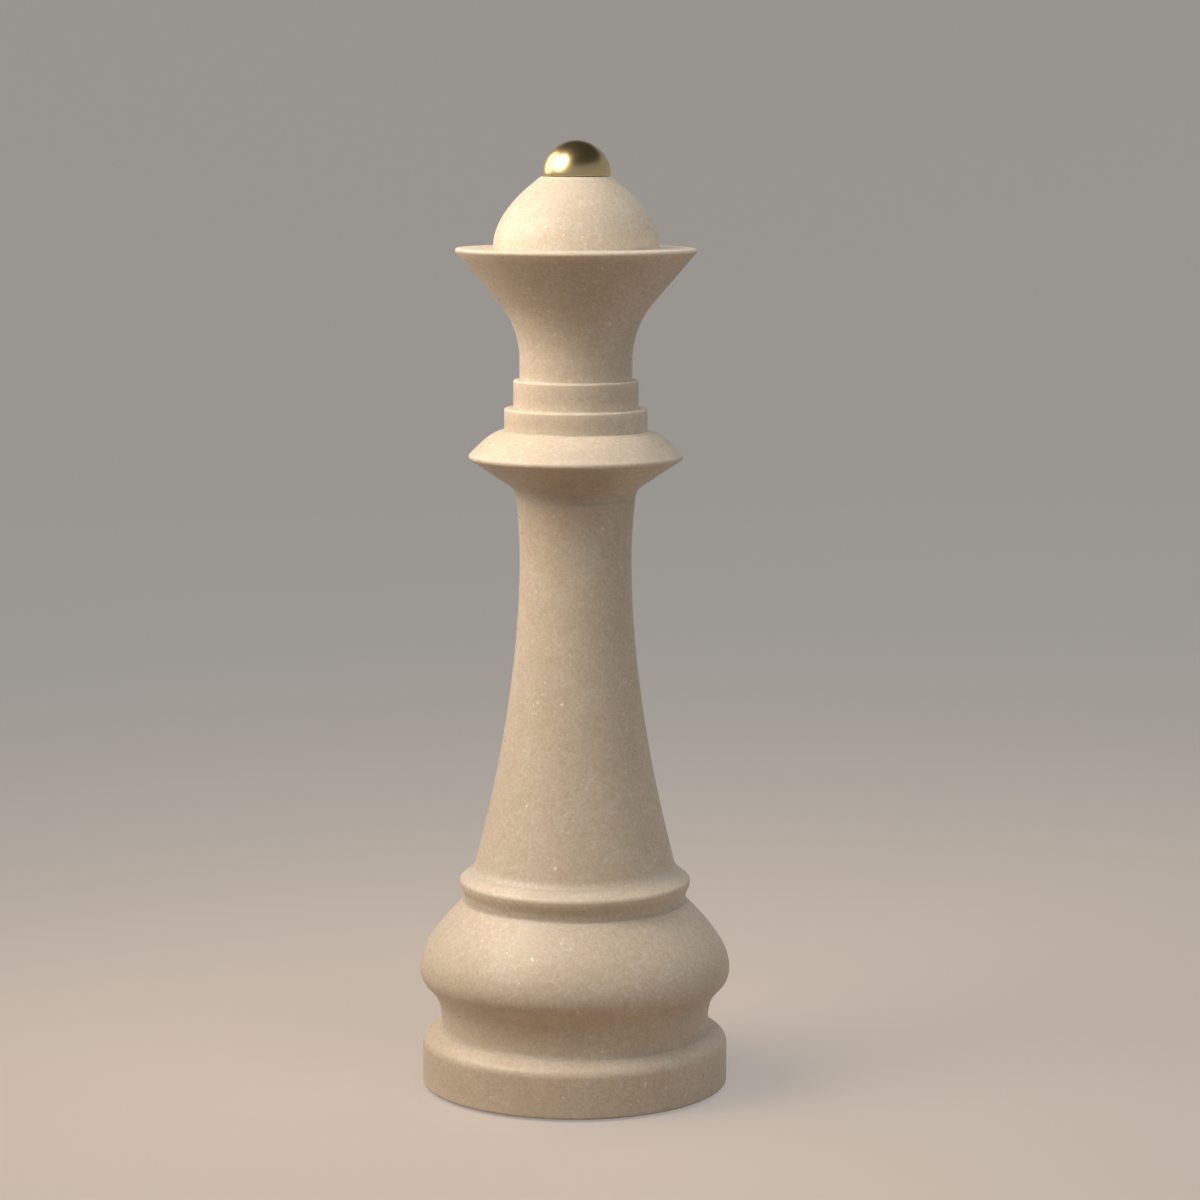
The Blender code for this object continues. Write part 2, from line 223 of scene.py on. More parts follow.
def tangent_at(a, b, c):
    """The direction at a smooth point: along a much longer neighbour, or by the arc through all three."""
    before, after = math.dist(a, b), math.dist(b, c)
    into, out = unit(a, b), unit(b, c)
    if before > STRAIGHT_RATIO * after:
        return into
    if after > STRAIGHT_RATIO * before:
        return out
    mixed = (into[0] * after + out[0] * before, into[1] * after + out[1] * before)
    length = math.hypot(*mixed)
    return (mixed[0] / length, mixed[1] / length)


def mirrored(tangent, chord):
    """A tangent reflected in its chord, which carries an arc's own curve on to its end."""
    along = 2 * (tangent[0] * chord[0] + tangent[1] * chord[1])
    return (along * chord[0] - tangent[0], along * chord[1] - tangent[1])


def refined(points, closed, fillet):
    """The outline with smooth runs drawn through its points, eased convex corners and even steps."""
    count = len(points)
    inside = range(count) if closed else range(1, count - 1)
    turns = {i: turn_at(points[i - 1], points[i], points[(i + 1) % count]) for i in inside}
    sharp = {i: abs(turns[i]) > SHARP_TURN if i in turns else True for i in range(count)}
    tangents = {
        i: tangent_at(points[i - 1], points[i], points[(i + 1) % count])
        for i in range(count)
        if not sharp[i]
    }
    cut = {}
    for i, turn in turns.items():
        if sharp[i] and turn > 0 and fillet > 0:
            shorter = min(math.dist(points[i], points[i - 1]), math.dist(points[i], points[(i + 1) % count]))
            reach = fillet * math.tan(min(turn, WIDEST_FILLET_TURN) / 2)
            cut[i] = min(reach, FILLET_ROOM * shorter)
    line = []
    for i in range(count if closed else count - 1):
        j = (i + 1) % count
        a, b = points[i], points[j]
        chord, length = unit(a, b), math.dist(a, b)
        start = tangents.get(i)
        end = tangents.get(j)
        if start is None and end is None:
            start = end = chord
        elif start is None:
            start = mirrored(end, chord)
        elif end is None:
            end = mirrored(start, chord)
        bend = abs(turn_at((0, 0), start, (start[0] + end[0], start[1] + end[1])))
        span = CURVE_STEP if bend > FLAT_BEND else PLAIN_STEP
        steps = max(1, math.ceil(bend / FINE_TURN), math.ceil(length / span))
        t0 = cut.get(i, 0.0) / length
        t1 = 1 - cut.get(j, 0.0) / length
        if i in cut:
            line += corner_arc(points, i, cut[i])
        for k in range(steps + 1):
            t = t0 + (t1 - t0) * k / steps
            line.append(hermite(a, b, start, end, length, t))
    clean = [line[0]]
    for point in line[1:]:
        if math.dist(point, clean[-1]) > ONE_POINT:
            clean.append(point)
    if closed and math.dist(clean[0], clean[-1]) < ONE_POINT:
        clean.pop()
    return [(max(0.0, r), z) for r, z in clean]


def hermite(a, b, start, end, length, t):
    """The point a share t along the cubic from a to b with the given end directions."""
    h0 = (1 + 2 * t) * (1 - t) ** 2
    h1 = t * t * (3 - 2 * t)
    m0 = t * (1 - t) ** 2 * length
    m1 = -t * t * (1 - t) * length
    return tuple(h0 * a[n] + h1 * b[n] + m0 * start[n] + m1 * end[n] for n in (0, 1))


def corner_arc(points, i, reach):
    """The middle points of a fillet that leaves a corner's two sides at the same reach."""
    corner = points[i]
    back, ahead = unit(corner, points[i - 1]), unit(corner, points[(i + 1) % len(points)])
    p0 = (corner[0] + back[0] * reach, corner[1] + back[1] * reach)
    p2 = (corner[0] + ahead[0] * reach, corner[1] + ahead[1] * reach)
    middle = []
    for k in range(1, FILLET_STEPS):
        t = k / FILLET_STEPS
        middle.append(
            tuple((1 - t) ** 2 * p0[n] + 2 * t * (1 - t) * corner[n] + t * t * p2[n] for n in (0, 1))
        )
    return middle


def wear_along(points, closed, buried=None):
    """From 0 to 1 for each outline point: how near it is to a tight outer edge that isn't buried. On the
    stone it paints a paler glow and highlight along the edges; on the metal it marks wear.
    """
    count = len(points)
    lengths = [math.dist(points[i], points[(i + 1) % count]) for i in range(count)]
    place = np.concatenate([[0.0], np.cumsum(lengths)])
    tight = []
    for i in range(count) if closed else range(1, count - 1):
        turn = turn_at(points[i - 1], points[i], points[(i + 1) % count])
        curve = turn / ((lengths[i - 1] + lengths[i]) / 2)
        if curve > TIGHT_CURVE and (buried is None or points[i][1] > buried):
            tight.append((place[i], min(1.0, curve / FULL_CURVE)))
    wear_and_glow = np.zeros(count)
    for where, weight in tight:
        gap = np.abs(place[:-1] - where)
        if closed:
            gap = np.minimum(gap, place[-1] - gap)
        wear_and_glow = np.maximum(wear_and_glow, weight * np.exp(-((gap / EDGE_WEAR_AND_GLOW_REACH) ** 2)))
    return wear_and_glow


# ---------------------------------------------------------------- node trees


class Tree:
    """A node tree under construction: add() makes a node, sets its fields and links or sets its inputs."""

    def __init__(self, tree):
        self.tree = tree

    def add(self, kind, inputs=None, **fields):
        node = self.tree.nodes.new(kind)
        for name, value in fields.items():
            setattr(node, name, value)
        for key, value in (inputs or {}).items():
            if isinstance(value, bpy.types.NodeSocket):
                self.link(value, node.inputs[key])
            else:
                node.inputs[key].default_value = value
        return node

    def link(self, value, socket):
        self.tree.links.new(value, socket)

    def math(self, operation, a, b=0.0, clamp=False):
        return self.add("ShaderNodeMath", {0: a, 1: b}, operation=operation, use_clamp=clamp).outputs[0]

    def plus(self, base, value, weight):
        return self.math("ADD", base, self.math("MULTIPLY", value, weight))

    def vector(self, operation, a, b=(0.0, 0.0, 0.0)):
        return self.add("ShaderNodeVectorMath", {0: a, 1: b}, operation=operation).outputs[0]

    def scaled(self, vector, factor):
        return self.add(
            "ShaderNodeVectorMath", {"Vector": vector, "Scale": factor}, operation="SCALE"
        ).outputs[0]

    def ramp(self, value, low, high, to_low=0.0, to_high=1.0, kind="SMOOTHSTEP"):
        return self.add(
            "ShaderNodeMapRange",
            {"Value": value, "From Min": low, "From Max": high, "To Min": to_low, "To Max": to_high},
            interpolation_type=kind,
        ).outputs["Result"]

    def mix(self, factor, a, b):
        return self.add("ShaderNodeMix", {0: factor, 6: a, 7: b}, data_type="RGBA").outputs[2]

    def noise(self, vector, scale, detail=3.0, roughness=0.55, output="Fac"):
        return self.add(
            "ShaderNodeTexNoise",
            {"Vector": vector, "Scale": scale, "Detail": detail, "Roughness": roughness},
        ).outputs[output]

    def cells(self, vector, scale):
        return self.add("ShaderNodeTexVoronoi", {"Vector": vector, "Scale": scale}).outputs["Color"]


def new_group(name, kind, inputs, outputs):
    """A node group with its named sockets, and the helper that fills it."""
    group = bpy.data.node_groups.new(name, kind)
    for direction, sockets in (("INPUT", inputs), ("OUTPUT", outputs)):
        for label, sort in sockets.items():
            group.interface.new_socket(label, in_out=direction, socket_type="NodeSocket" + sort)
    tree = Tree(group)
    entry = tree.add("NodeGroupInput")
    leave = tree.add("NodeGroupOutput")
    return group, tree, entry.outputs, leave.inputs


def turning_tree(name, threaded=False):
    """Geometry Nodes that turn an outline mesh in the x-z plane about the Z axis, with a thread if asked."""
    inputs = {"Outline": "Geometry", "Sides": "Int", "Material": "Material"}
    if threaded:
        inputs["Pitch"] = "Float"
    group, tree, given, result = new_group(name, "GeometryNodeTree", inputs, {"Turned": "Geometry"})
    rows = tree.add("GeometryNodeAttributeDomainSize", {0: given["Outline"]}, component="MESH")
    rows = rows.outputs["Point Count"]
    columns = tree.math("ADD", given["Sides"], 1.0)
    grid = tree.add("GeometryNodeMeshGrid", {"Vertices X": columns, "Vertices Y": rows})
    index = tree.add("GeometryNodeInputIndex").outputs[0]
    row = tree.math("MODULO", index, rows)
    column = tree.math("FLOOR", tree.math("DIVIDE", tree.math("ADD", index, 0.5), rows))
    share = tree.math("DIVIDE", column, given["Sides"])
    angle = tree.math("MULTIPLY", share, math.tau)

    def sampled(value, kind):
        node = tree.add("GeometryNodeSampleIndex", data_type=kind, domain="POINT")
        tree.link(given["Outline"], node.inputs["Geometry"])
        tree.link(value, node.inputs["Value"])
        tree.link(row, node.inputs["Index"])
        return node.outputs["Value"]

    def attribute(label):
        node = tree.add("GeometryNodeInputNamedAttribute", {"Name": label}, data_type="FLOAT")
        return sampled(node.outputs["Attribute"], "FLOAT")

    place = tree.add(
        "ShaderNodeSeparateXYZ",
        {0: sampled(tree.add("GeometryNodeInputPosition").outputs[0], "FLOAT_VECTOR")},
    )
    radius, level = place.outputs[0], place.outputs[2]
    if threaded:
        turns = tree.math("SUBTRACT", tree.math("DIVIDE", level, given["Pitch"]), share)
        phase = tree.math("FRACT", turns)
        flank = tree.math("ABSOLUTE", tree.math("SUBTRACT", tree.math("MULTIPLY", phase, 2.0), 1.0))
        flank = tree.ramp(flank, THREAD_CREST, THREAD_ROOT, kind="LINEAR")
        radius = tree.math("SUBTRACT", radius, tree.math("MULTIPLY", flank, attribute(THREAD)))
    position = tree.add(
        "ShaderNodeCombineXYZ",
        {
            0: tree.math("MULTIPLY", radius, tree.math("COSINE", angle)),
            1: tree.math("MULTIPLY", radius, tree.math("SINE", angle)),
            2: level,
        },
    )
    shaped = tree.add(
        "GeometryNodeSetPosition", {"Geometry": grid.outputs["Mesh"], "Position": position.outputs[0]}
    ).outputs[0]
    wear_and_glow = tree.add(
        "GeometryNodeStoreNamedAttribute",
        {"Geometry": shaped, "Name": EDGE_WEAR_AND_GLOW},
        data_type="FLOAT",
        domain="POINT",
    )
    tree.link(attribute(EDGE_WEAR_AND_GLOW), wear_and_glow.inputs["Value"])
    welded = tree.add("GeometryNodeMergeByDistance", {"Geometry": wear_and_glow.outputs[0], "Distance": WELD})
    smooth = tree.add("GeometryNodeSetShadeSmooth", {"Geometry": welded.outputs[0]})
    realized = tree.add("GeometryNodeRealizeInstances", {"Geometry": smooth.outputs[0]})
    painted = tree.add(
        "GeometryNodeSetMaterial",
        {"Geometry": realized.outputs[0], "Material": given["Material"]},
    )
    tree.link(painted.outputs[0], result["Turned"])
    return group


def once(name, make):
    """A node group that is built the first time it is asked for."""
    return bpy.data.node_groups.get(name) or make(name)


# ---------------------------------------------------------------- meshes


def in_scene(name, data):
    """An object at the origin that shows the data."""
    made = bpy.data.objects.new(name, data)
    bpy.context.scene.collection.objects.link(made)
    return made


def line_object(name, points, closed, floats):
    """An outline as a mesh of points and edges, with a float attribute for each named list."""
    if closed:
        points = points + points[:1]
        floats = {label: list(values) + [values[0]] for label, values in floats.items()}
    mesh = bpy.data.meshes.new(name + "_outline")
    vertices = [(r, 0.0, z) for r, z in points]
    mesh.from_pydata(vertices, [(i, i + 1) for i in range(len(vertices) - 1)], [])
    for label, values in floats.items():
        attribute = mesh.attributes.new(label, "FLOAT", "POINT")
        attribute.data.foreach_set("value", [float(v) for v in values])
    return in_scene(name + "_outline", mesh)


def baked(name, source, tree, values):
    """The plain mesh object that a tree makes of a source, which is then removed."""
    modifier = source.modifiers.new("build", "NODES")
    modifier.node_group = tree
    for item in tree.interface.items_tree:
        if item.item_type == "SOCKET" and item.in_out == "INPUT" and item.name in values:
            modifier[item.identifier] = values[item.name]
    graph = bpy.context.evaluated_depsgraph_get()
    mesh = bpy.data.meshes.new_from_object(source.evaluated_get(graph))
    source.modifiers.clear()
    bpy.data.objects.remove(source)
    mesh.name = name
    return in_scene(name, mesh)


def finished(made):
    """Faces outwards, smooth with creases at real corners, and no loose points."""
    bm = bmesh.new()
    bm.from_mesh(made.data)
    bmesh.ops.remove_doubles(bm, verts=bm.verts, dist=WELD)
    bmesh.ops.dissolve_degenerate(bm, edges=bm.edges, dist=WELD / 2)
    bmesh.ops.recalc_face_normals(bm, faces=bm.faces)
    open_edges = [e for e in bm.edges if len(e.link_faces) != 2]
    if open_edges:
        raise RuntimeError(f"{made.name} has {len(open_edges)} open edges")
    bm.to_mesh(made.data)
    bm.free()
    made.data.polygons.foreach_set("use_smooth", [True] * len(made.data.polygons))
    made.data.set_sharp_from_angle(angle=CREASE)
    made.data.update()
    return made


def turned(name, points, closed, sides, surface, buried=None):
    """A piece turned from its outline. Corners below the buried height get no edge mask: no wear on the metal
    and no painted edge glow on the stone.
    """
    source = line_object(name, points, closed, {EDGE_WEAR_AND_GLOW: wear_along(points, closed, buried)})
    tree = once("turned_section", turning_tree)
    return finished(baked(name, source, tree, {"Sides": sides, "Material": surface}))


def placed(made, body, node):
    """Give a finished piece its body, and hide the CAD node that it takes the place of."""
    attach(made, body)
    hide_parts(node)


# ---------------------------------------------------------------- finishes


def sugary_marble_group(name):
    """Calcite crystals about a millimetre across, cloudy tone, a painted glow and highlight along the convex
    edges and a few bright crystals.
    """
    group, tree, given, result = new_group(
        name,
        "ShaderNodeTree",
        {
            "Cream": "Color",
            "Shade": "Color",
            "Pale": "Color",
            "Crystal Size": "Float",
            "Cloud Size": "Float",
            "Glint Share": "Float",
        },
        {"Color": "Color", "Roughness": "Float", "Glint": "Float", "Height": "Float", "Normal": "Vector"},
    )
    block = tree.add("ShaderNodeAttribute", attribute_name=BLOCK).outputs["Fac"]
    shift = tree.add(
        "ShaderNodeCombineXYZ",
        {
            0: tree.math("MULTIPLY", block, 0.37),
            1: tree.math("MULTIPLY", block, 0.61),
            2: tree.math("MULTIPLY", block, 0.83),
        },
    ).outputs[0]
    place = tree.vector("ADD", tree.add("ShaderNodeTexCoord").outputs["Object"], shift)
    fine = tree.math("DIVIDE", 1.0, given["Crystal Size"])
    broad = tree.math("DIVIDE", 1.0, given["Cloud Size"])

    wobble = tree.scaled(
        tree.vector("SUBTRACT", tree.noise(place, fine, detail=2.0, output="Color"), (0.5, 0.5, 0.5)),
        tree.math("MULTIPLY", given["Crystal Size"], 0.9),
    )
    grown = tree.vector("ADD", place, wobble)
    crystal = tree.add("ShaderNodeSeparateColor", {0: tree.cells(grown, fine)})
    coarse = tree.add(
        "ShaderNodeSeparateColor", {0: tree.cells(grown, tree.math("MULTIPLY", fine, 0.45))}
    )
    sugar = tree.noise(place, tree.math("MULTIPLY", fine, 1.7), roughness=0.7)
    cloud = tree.noise(place, broad, detail=4.0, roughness=0.6)
    drift = tree.noise(place, tree.math("MULTIPLY", broad, 3.1), roughness=0.6)

    tone = tree.math("MULTIPLY", crystal.outputs[0], 0.40)
    tone = tree.plus(tone, coarse.outputs[0], 0.18)
    tone = tree.plus(tone, sugar, 0.46)
    tone = tree.plus(tone, tree.math("SUBTRACT", cloud, 0.5), 0.5)
    tone = tree.plus(tone, tree.math("SUBTRACT", drift, 0.5), 0.35)
    shaded = tree.ramp(tone, 0.60, 0.15)
    paled = tree.ramp(tone, 0.52, 0.86)
    wear_and_glow = tree.add("ShaderNodeAttribute", attribute_name=EDGE_WEAR_AND_GLOW).outputs["Fac"]
    colour = tree.mix(tree.math("MULTIPLY", shaded, 0.60), given["Cream"], given["Shade"])
    colour = tree.mix(tree.math("MULTIPLY", paled, 0.62), colour, given["Pale"])
    # Painted edge glow and highlight: convex edges are mixed towards the pale colour, standing in for light
    # caught by the rounded arrises and shining through the thin edges.
    colour = tree.mix(tree.math("MULTIPLY", wear_and_glow, 0.28), colour, given["Pale"])
    lowest = tree.math("SUBTRACT", 1.0, given["Glint Share"])
    glint = tree.math("GREATER_THAN", crystal.outputs[1], lowest)
    colour = tree.mix(tree.math("MULTIPLY", glint, 0.85), colour, (0.98, 0.94, 0.86, 1.0))
    tree.link(colour, result["Color"])

    rough = tree.plus(0.34, crystal.outputs[2], 0.14)
    rough = tree.plus(rough, wear_and_glow, 0.05)
    rough = tree.math("SUBTRACT", rough, tree.math("MULTIPLY", glint, 0.18))
    tree.link(rough, result["Roughness"])
    tree.link(glint, result["Glint"])
    tree.link(tree.plus(tree.math("MULTIPLY", sugar, 0.5), crystal.outputs[2], 0.5), result["Height"])
    lean = tree.vector("SUBTRACT", tree.cells(grown, fine), (0.5, 0.5, 0.5))
    amount = tree.plus(0.04, glint, 0.40)
    upright = tree.add("ShaderNodeNewGeometry").outputs["Normal"]
    leaning = tree.vector("ADD", upright, tree.scaled(lean, amount))
    tree.link(tree.vector("NORMALIZE", leaning), result["Normal"])
    return group


def turned_metal_group(name):
    """Fine rings left by polishing in a lathe, handling marks and a thin tarnish in soft patches."""
    group, tree, given, result = new_group(
        name,
        "ShaderNodeTree",
        {
            "Metal": "Color",
            "Tarnish": "Color",
            "Ring Width": "Float",
            "Patch Size": "Float",
            "Base Roughness": "Float",
        },
        {"Color": "Color", "Roughness": "Float", "Height": "Float"},
    )
    place = tree.add("ShaderNodeTexCoord").outputs["Object"]
    parts = tree.add("ShaderNodeSeparateXYZ", {0: place})
    x, y, z = parts.outputs
    across = tree.math("SQRT", tree.plus(tree.math("MULTIPLY", x, x), y, y))
    round_place = tree.add("ShaderNodeCombineXYZ", {0: across, 1: 0.0, 2: z}).outputs[0]
    ring_scale = tree.math("DIVIDE", 1.0, given["Ring Width"])
    patch_scale = tree.math("DIVIDE", 1.0, given["Patch Size"])
    mark_scale = tree.math("DIVIDE", 4.2, given["Patch Size"])
    rings = tree.noise(round_place, ring_scale, detail=2.0, roughness=0.6)
    patches = tree.noise(place, patch_scale, detail=4.0, roughness=0.6)
    marks = tree.noise(place, mark_scale, detail=5.0, roughness=0.7)
    wear_and_glow = tree.add("ShaderNodeAttribute", attribute_name=EDGE_WEAR_AND_GLOW).outputs["Fac"]
    tarnish = tree.math("MULTIPLY", tree.ramp(patches, 0.35, 0.80), 0.30)
    tarnish = tree.plus(tarnish, tree.ramp(marks, 0.55, 0.75), 0.16)
    tarnish = tree.math("SUBTRACT", tarnish, tree.math("MULTIPLY", wear_and_glow, 0.3), clamp=True)
    tree.link(tree.mix(tarnish, given["Metal"], given["Tarnish"]), result["Color"])
    rough = tree.plus(given["Base Roughness"], tarnish, 0.22)
    rough = tree.plus(rough, tree.math("SUBTRACT", rings, 0.5), 0.10)
    tree.link(rough, result["Roughness"])
    tree.link(tree.plus(tree.math("MULTIPLY", rings, 0.6), marks, 0.4), result["Height"])
    return group


def fibre_group(name):
    """Matted fibres: long threads that lie every way, small clumps and lint."""
    group, tree, given, result = new_group(
        name,
        "ShaderNodeTree",
        {"Felt": "Color", "Lint": "Color", "Fibre Size": "Float"},
        {"Color": "Color", "Roughness": "Float", "Height": "Float"},
    )
    place = tree.add("ShaderNodeTexCoord").outputs["Object"]
    fine = tree.math("DIVIDE", 1.0, given["Fibre Size"])
    bend = tree.noise(place, tree.math("MULTIPLY", fine, 0.22), detail=2.0, output="Color")
    bend = tree.vector("SUBTRACT", bend, (0.5, 0.5, 0.5))
    laid = tree.vector("ADD", place, tree.scaled(bend, tree.math("MULTIPLY", given["Fibre Size"], 9.0)))
    threads = tree.vector("MULTIPLY", laid, (1.0, 0.16, 1.0))
    threads = tree.noise(threads, fine, detail=4.0, roughness=0.65)
    crossing = tree.vector("MULTIPLY", laid, (0.16, 1.0, 1.0))
    crossing = tree.noise(crossing, fine, detail=4.0, roughness=0.65)
    clumps = tree.noise(place, tree.math("MULTIPLY", fine, 0.12), roughness=0.6)
    mat = tree.math("MAXIMUM", threads, crossing)
    lint = tree.math("MULTIPLY", tree.ramp(mat, 0.52, 0.74), tree.ramp(clumps, 0.30, 0.70, 0.35, 0.9))
    tree.link(tree.mix(lint, given["Felt"], given["Lint"]), result["Color"])
    tree.link(tree.ramp(mat, 0.4, 0.7, 0.98, 0.86), result["Roughness"])
    tree.link(tree.plus(tree.math("MULTIPLY", mat, 0.7), clumps, 0.3), result["Height"])
    return group


def new_material(name, make_group, values, bump, shader):
    """A material whose varying inputs come from a shared group, with its constants on the shader itself."""
    if name in bpy.data.materials:
        return bpy.data.materials[name]
    material = bpy.data.materials.new(name)
    material.use_nodes = True
    material.node_tree.nodes.clear()
    tree = Tree(material.node_tree)
    group_name = make_group.__name__.replace("_group", "")
    group = tree.add("ShaderNodeGroup")
    group.node_tree = once(group_name, make_group)
    for key, value in values.items():
        group.inputs[key].default_value = value
    principled = tree.add("ShaderNodeBsdfPrincipled", shader)
    rise = tree.add("ShaderNodeBump", {**bump, "Height": group.outputs["Height"]})
    if "Normal" in group.outputs:
        tree.link(group.outputs["Normal"], rise.inputs["Normal"])
    if "Glint" in group.outputs:
        shine = tree.math("MULTIPLY", group.outputs["Glint"], GLINT_METALLIC)
        tree.link(shine, principled.inputs["Metallic"])
    tree.link(group.outputs["Color"], principled.inputs["Base Color"])
    tree.link(group.outputs["Roughness"], principled.inputs["Roughness"])
    tree.link(rise.outputs[0], principled.inputs["Normal"])
    leave = tree.add("ShaderNodeOutputMaterial")
    tree.link(principled.outputs[0], leave.inputs["Surface"])
    return material


def marble(settings):
    return new_material(
        "cream_marble",
        sugary_marble_group,
        {
            "Cream": (*settings.cream, 1.0),
            "Shade": (*settings.shade, 1.0),
            "Pale": (*settings.pale, 1.0),
            "Crystal Size": settings.crystal_size,
            "Cloud Size": settings.cloud_size,
            "Glint Share": settings.glint_share,
        },
        {"Strength": 0.35, "Distance": 0.00012},
        {
            "Subsurface Weight": settings.translucency,
            "Subsurface Radius": (1.0, 0.86, 0.70),
            "Subsurface Scale": 0.0034,
            "IOR": 1.49,
        },
    )


def metal(name, colour, tarnish, roughness, ring_width, patch_size):
    return new_material(
        name,
        turned_metal_group,
        {
            "Metal": (*colour, 1.0),
            "Tarnish": (*tarnish, 1.0),
            "Ring Width": ring_width,
            "Patch Size": patch_size,
            "Base Roughness": roughness,
        },
        {"Strength": 0.12, "Distance": 0.00003},
        {"Metallic": 1.0},
    )


def zinc(settings):
    dull = tuple(0.62 * c for c in settings.steel)
    return metal(
        "zinc_plated_steel", settings.steel, dull, roughness=0.30, ring_width=0.00025, patch_size=0.004
    )


def nylon(settings):
    return new_material(
        "white_nylon",
        turned_metal_group,
        {
            "Metal": (*settings.nylon, 1.0),
            "Tarnish": tuple(0.86 * c for c in settings.nylon) + (1.0,),
            "Ring Width": 0.0003,
            "Patch Size": 0.005,
            "Base Roughness": 0.46,
        },
        {"Strength": 0.10, "Distance": 0.00004},
        {"Subsurface Weight": 0.15, "Subsurface Scale": 0.001, "IOR": 1.53},
    )


# ---------------------------------------------------------------- settings


class StoneSettings(bpy.types.PropertyGroup):
    """Sizes and colours of the marble."""

    cream: bpy.props.FloatVectorProperty(
        name="Cream", description="Main colour of the stone", subtype="COLOR", min=0, max=1,
        default=(0.80, 0.722, 0.592),
    )
    shade: bpy.props.FloatVectorProperty(
        name="Shade", description="Darker crystals and clouds", subtype="COLOR", min=0, max=1,
        default=(0.66, 0.58, 0.44),
    )
    # The pale colour also paints the glow and highlight along the stone's convex edges.
    pale: bpy.props.FloatVectorProperty(
        name="Pale", description="Pale crystals and worn edges", subtype="COLOR", min=0, max=1,
        default=(0.925, 0.88, 0.785),
    )
    crystal_size: bpy.props.FloatProperty(
        name="Crystal Size", description="Width of one calcite crystal", unit="LENGTH",
        default=0.0009, min=0.0002,
    )
    cloud_size: bpy.props.FloatProperty(
        name="Cloud Size", description="Width of the soft patches of tone", unit="LENGTH",
        default=0.045, min=0.005,
    )
    glint_share: bpy.props.FloatProperty(
        name="Glint Share", description="Share of crystals that catch the light", subtype="FACTOR",
        default=0.010, min=0, max=1,
    )
    translucency: bpy.props.FloatProperty(
        name="Translucency", description="How much light travels inside the stone", subtype="FACTOR",
        default=0.55, min=0, max=1,
    )
    worn_radius: bpy.props.FloatProperty(
        name="Arris", description="Easing of the sharp edges at the bedding lines", unit="LENGTH",
        default=0.00006, min=0,
    )
    joint_closing: bpy.props.FloatProperty(
        name="Joint Closing", description="How far each foot comes down into its bedding line", unit="LENGTH",
        default=0.000295, min=0,
    )
    sides: bpy.props.IntProperty(
        name="Sides", description="Facets round each section", default=192, min=24, max=512
    )


class MetalSettings(bpy.types.PropertyGroup):
    """Sizes and colours of the knob and the hidden fittings."""

    brass: bpy.props.FloatVectorProperty(
        name="Brass", description="Colour of the clean brass", subtype="COLOR", min=0, max=1,
        default=(0.80, 0.665, 0.38),
    )
    tarnish: bpy.props.FloatVectorProperty(
        name="Tarnish", description="Colour of the dulled brass", subtype="COLOR", min=0, max=1,
        default=(0.50, 0.39, 0.20),
    )
    steel: bpy.props.FloatVectorProperty(
        name="Steel", description="Colour of the zinc-plated steel", subtype="COLOR", min=0, max=1,
        default=(0.52, 0.53, 0.55),
    )
    nylon: bpy.props.FloatVectorProperty(
        name="Nylon", description="Colour of the knob's washer", subtype="COLOR", min=0, max=1,
        default=(0.78, 0.77, 0.72),
    )
    thread_pitch: bpy.props.FloatProperty(
        name="Thread Pitch", description="Rise of the rod's thread in one turn", unit="LENGTH",
        default=0.00125, min=0.0003,
    )
    thread_depth: bpy.props.FloatProperty(
        name="Thread Depth", description="Depth of the rod's thread", unit="LENGTH",
        default=0.00068, min=0,
    )
    thread_length: bpy.props.FloatProperty(
        name="Thread Length", description="Threaded length at each end of the rod", unit="LENGTH",
        default=0.030, min=0,
    )


class FeltSettings(bpy.types.PropertyGroup):
    """Colours of the pad under the base."""

    felt: bpy.props.FloatVectorProperty(
        name="Felt", description="Colour of the felt", subtype="COLOR", min=0, max=1,
        default=(0.085, 0.060, 0.042),
    )
    lint: bpy.props.FloatVectorProperty(
        name="Lint", description="Colour of the raised fibres", subtype="COLOR", min=0, max=1,
        default=(0.20, 0.155, 0.115),
    )


class StageSettings(bpy.types.PropertyGroup):
    """Camera, lights and floor."""

    camera_distance: bpy.props.FloatProperty(
        name="Camera Distance", description="Level distance to the axis", unit="LENGTH", default=1.4611
    )
    camera_height: bpy.props.FloatProperty(
        name="Camera Height", description="Height of the lens above the floor", unit="LENGTH", default=0.4054
    )
    camera_aside: bpy.props.FloatProperty(
        name="Camera Aside", description="Offset of the lens to the right", unit="LENGTH", default=0.0103
    )
    camera_tilt: bpy.props.FloatProperty(
        name="Camera Tilt", description="Angle of the lens below level", subtype="ANGLE",
        default=math.radians(7.7),
    )
    camera_roll: bpy.props.FloatProperty(
        name="Camera Roll", description="Lean of the camera", subtype="ANGLE", default=0.0029
    )
    lens: bpy.props.FloatProperty(name="Lens", description="Focal length in millimetres", default=105.0)
    key_power: bpy.props.FloatProperty(
        name="Key Power", description="Large soft light at the upper left", unit="POWER", default=2.3
    )
    side_power: bpy.props.FloatProperty(
        name="Side Power", description="Soft light behind at the left", unit="POWER", default=0.45
    )
    top_power: bpy.props.FloatProperty(
        name="Top Power", description="Soft light overhead in front", unit="POWER", default=0.84
    )
    fill_power: bpy.props.FloatProperty(
        name="Fill Power", description="Soft light at the right", unit="POWER", default=1.02
    )
    back_power: bpy.props.FloatProperty(
        name="Back Power", description="Soft light behind at the right", unit="POWER", default=0.66
    )
    sky: bpy.props.FloatProperty(name="Sky", description="Strength of the plain surroundings", default=0.045)
    backdrop_glow: bpy.props.FloatProperty(
        name="Backdrop Glow", description="Even lift of the floor and backdrop, which lights nothing",
        default=0.30,
    )
    floor: bpy.props.FloatVectorProperty(
        name="Floor", description="Colour of the floor", subtype="COLOR", min=0, max=1,
        default=(0.34, 0.265, 0.20),
    )


class QueenSettings(bpy.types.PropertyGroup):
    """Everything a user would change."""

    stone: bpy.props.PointerProperty(type=StoneSettings)
    metal: bpy.props.PointerProperty(type=MetalSettings)
    felt: bpy.props.PointerProperty(type=FeltSettings)
    stage: bpy.props.PointerProperty(type=StageSettings)


# ---------------------------------------------------------------- pieces


